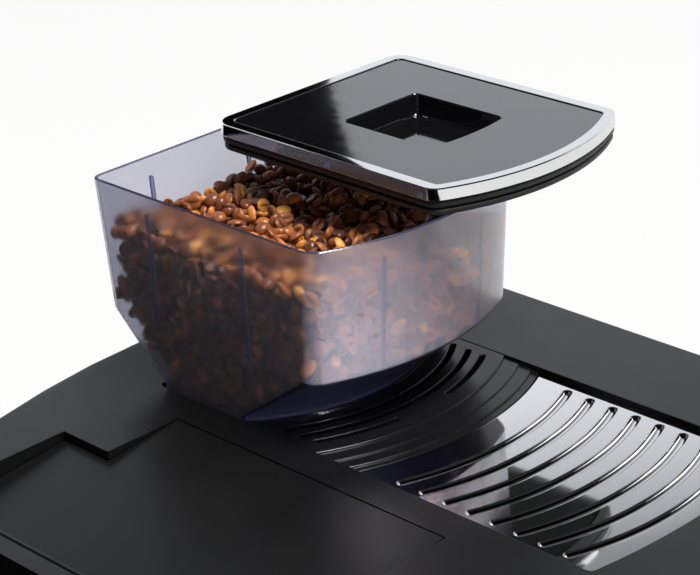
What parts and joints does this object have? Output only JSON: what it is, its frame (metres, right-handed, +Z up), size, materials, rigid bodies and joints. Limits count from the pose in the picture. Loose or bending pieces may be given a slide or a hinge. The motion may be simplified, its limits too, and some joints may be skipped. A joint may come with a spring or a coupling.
{
  "type": "bean to cup coffee machine",
  "caption": "Bean to cup coffee machine with a clear bean hopper, lid laid askew, grooved cup tray, lift-out water tank, drip drawer, burr grinder and brewing group.",
  "frame": {"origin": "on the floor, under the middle of the machine", "axes": "+Z up, front towards -Y, the user's left towards -X"},
  "size_m": [0.3765, 0.4166, 0.4741],
  "materials": {
    "satin_black": "satin",
    "gloss_black": "polished",
    "black_rubber": "matt",
    "mirror_chrome": "mirror",
    "steel": "fine brushed",
    "cast_aluminium": "as cast",
    "tinted_clear": "clear with a blue-violet tint",
    "smoked_clear": "clear, smoked",
    "grey_plastic": "fine grain",
    "white_nylon": "plain",
    "green_board": "lacquered",
    "dark_glass": "polished",
    "clear_silicone": "translucent",
    "red_plastic": "plain"
  },
  "bodies": {
    "casing": {"base_plate": "grey_plastic", "foot_front_left": "black_rubber", "foot_front_right": "black_rubber", "foot_rear_left": "black_rubber", "foot_rear_right": "black_rubber", "left_side_panel": "satin_black", "right_side_panel": "satin_black", "rear_panel": "satin_black", "front_panel": "satin_black", "top_cover": "satin_black", "vent_insert": "gloss_black", "inner_frame": "grey_plastic", "grinder_deck": "grey_plastic", "cup_bay_liner": "satin_black", "hot_water_nozzle": "mirror_chrome", "control_panel": "gloss_black", "display_glass": "dark_glass", "control_board": "green_board", "grinder_housing": "grey_plastic", "ring_burr": "steel", "grinder_motor": "steel", "coffee_chute": "satin_black", "brew_frame": "grey_plastic", "brew_chamber": "white_nylon", "brew_motor": "steel", "block_heater": "cast_aluminium", "water_pump": "steel", "suction_hose": "clear_silicone", "pressure_hose": "clear_silicone", "mains_inlet": "satin_black"},
    "hopper": {"bean_hopper": "tinted_clear"},
    "hopper_lid": {"hopper_lid_rim": "mirror_chrome", "hopper_lid_gasket": "black_rubber", "hopper_lid_plate": "gloss_black", "hopper_lid_sole": "satin_black"},
    "cup_tray": {"cup_tray": "mirror_chrome"},
    "tank": {"water_tank": "smoked_clear", "tank_valve": "white_nylon", "tank_lid_pin": "steel"},
    "tank_lid": {"tank_lid": "satin_black"},
    "drip_drawer": {"drip_tray": "satin_black", "drip_tray_front": "mirror_chrome"},
    "drip_grid": {"drip_grid": "steel"},
    "grounds_container": {"grounds_container": "grey_plastic"},
    "level_float": {"level_float": "red_plastic"},
    "spout": {"spout_carriage": "satin_black", "coffee_nozzle_left": "mirror_chrome", "coffee_nozzle_right": "mirror_chrome"},
    "drink_button_1": {"drink_button_1": "mirror_chrome"},
    "drink_button_2": {"drink_button_2": "mirror_chrome"},
    "drink_button_3": {"drink_button_3": "mirror_chrome"},
    "drink_button_4": {"drink_button_4": "mirror_chrome"},
    "menu_knob": {"menu_knob": "mirror_chrome"},
    "power_rocker": {"power_rocker": "gloss_black"},
    "service_door": {"service_door": "satin_black"},
    "burr": {"cone_burr": "steel", "grinder_gear": "white_nylon"},
    "motor_pinion": {"motor_pinion": "steel"},
    "lead_screw": {"lead_screw": "steel"},
    "brew_piston": {"brew_piston": "white_nylon"}
  },
  "joints": [
    {"name": "hopper_lift", "type": "slide", "parent": "casing", "child": "hopper", "axis": [0, 0, 1], "range_m": [0, 0.12]},
    {"name": "hopper_lid_lift", "type": "slide", "parent": "hopper", "child": "hopper_lid", "axis": [0, 0, 1], "range_m": [0, 0.1]},
    {"name": "cup_tray_lift", "type": "slide", "parent": "casing", "child": "cup_tray", "axis": [0, 0, 1], "range_m": [0, 0.05]},
    {"name": "tank_lift", "type": "slide", "parent": "casing", "child": "tank", "axis": [0, 0, 1], "range_m": [0, 0.2]},
    {"name": "tank_lid_hinge", "type": "hinge", "parent": "tank", "child": "tank_lid", "pos_m": [-0.1717, 0.0391, 0.3325], "axis": [0, -1, 0], "range_deg": [0, 95]},
    {"name": "drip_drawer_slide", "type": "slide", "parent": "casing", "child": "drip_drawer", "axis": [0, -1, 0], "range_m": [0, 0.2]},
    {"name": "drip_grid_lift", "type": "slide", "parent": "drip_drawer", "child": "drip_grid", "axis": [0, 0, 1], "range_m": [0, 0.05]},
    {"name": "grounds_container_lift", "type": "slide", "parent": "drip_drawer", "child": "grounds_container", "axis": [0, 0, 1], "range_m": [0, 0.05]},
    {"name": "level_float_rise", "type": "slide", "parent": "drip_drawer", "child": "level_float", "axis": [0, 0, 1], "range_m": [0, 0.008]},
    {"name": "spout_height", "type": "slide", "parent": "casing", "child": "spout", "axis": [0, 0, 1], "range_m": [-0.047, 0]},
    {"name": "drink_button_1_press", "type": "slide", "parent": "casing", "child": "drink_button_1", "axis": [0, 1, 0], "range_m": [0, 0.0012], "stiffness_N_per_m": 500, "springref_m": -0.0006},
    {"name": "drink_button_2_press", "type": "slide", "parent": "casing", "child": "drink_button_2", "axis": [0, 1, 0], "range_m": [0, 0.0012], "stiffness_N_per_m": 500, "springref_m": -0.0006},
    {"name": "drink_button_3_press", "type": "slide", "parent": "casing", "child": "drink_button_3", "axis": [0, 1, 0], "range_m": [0, 0.0012], "stiffness_N_per_m": 500, "springref_m": -0.0006},
    {"name": "drink_button_4_press", "type": "slide", "parent": "casing", "child": "drink_button_4", "axis": [0, 1, 0], "range_m": [0, 0.0012], "stiffness_N_per_m": 500, "springref_m": -0.0006},
    {"name": "menu_knob_turn", "type": "hinge", "parent": "casing", "child": "menu_knob", "pos_m": [0.084, -0.2031, 0.2885], "axis": [0, 1, 0], "continuous": true},
    {"name": "power_rocker_tilt", "type": "hinge", "parent": "casing", "child": "power_rocker", "pos_m": [-0.0075, 0.196, 0.0555], "axis": [1, 0, 0], "range_deg": [-8, 8]},
    {"name": "service_door_hinge", "type": "hinge", "parent": "casing", "child": "service_door", "pos_m": [0.18525, 0.13875, 0.1225], "axis": [0, 0, 1], "range_deg": [0, 100]},
    {"name": "burr_spin", "type": "hinge", "parent": "casing", "child": "burr", "pos_m": [0.0443, 0.112, 0.256], "axis": [0, 0, 1], "continuous": true},
    {"name": "motor_spin", "type": "hinge", "parent": "casing", "child": "motor_pinion", "pos_m": [0.0923, 0.112, 0.256], "axis": [0, 0, 1], "continuous": true},
    {"name": "lead_screw_turn", "type": "hinge", "parent": "casing", "child": "lead_screw", "pos_m": [0.085, 0.085, 0.1], "axis": [0, 0, 1], "range_deg": [0, 1800]},
    {"name": "brew_piston_travel", "type": "slide", "parent": "casing", "child": "brew_piston", "axis": [0, 0, -1], "range_m": [0, 0.03]}
  ],
  "couplings": [
    {"joint": "motor_spin", "follows": "burr_spin", "ratio": -3},
    {"joint": "lead_screw_turn", "follows": "brew_piston_travel", "rad_per_m": 1047.2}
  ]
}
